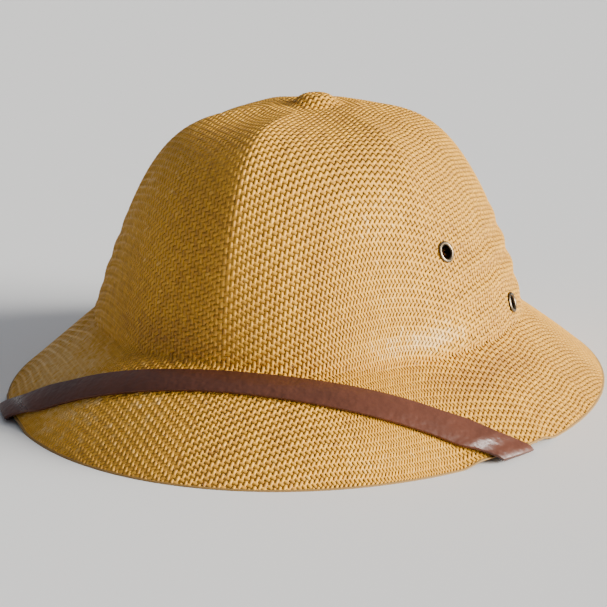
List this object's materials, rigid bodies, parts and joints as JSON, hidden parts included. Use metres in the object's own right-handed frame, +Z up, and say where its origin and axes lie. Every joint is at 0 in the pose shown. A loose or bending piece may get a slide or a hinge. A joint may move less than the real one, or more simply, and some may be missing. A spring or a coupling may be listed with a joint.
{
  "type": "straw sun helmet",
  "caption": "Hard woven-straw hat with a domed, ridged crown, a sloping brim all round, a leather chin strap laid over the front brim and metal vent eyelets in the crown's sides.",
  "frame": {"origin": "middle of the brim's outline, on the surface the hat rests on", "axes": "+Z up, -Y towards the front of the hat, +X towards the wearer's left"},
  "size_m": [0.285, 0.33, 0.1392],
  "materials": {
    "straw": "natural golden straw, open plain weave, slight sheen",
    "leather": "smooth chestnut brown, semi-gloss",
    "brass": "antique, satin"
  },
  "bodies": {
    "root": {"straw_body": "straw", "strap": "leather", "eyelet_upper_left": "brass", "eyelet_upper_right": "brass", "eyelet_lower_left": "brass", "eyelet_lower_right": "brass"}
  },
  "joints": []
}
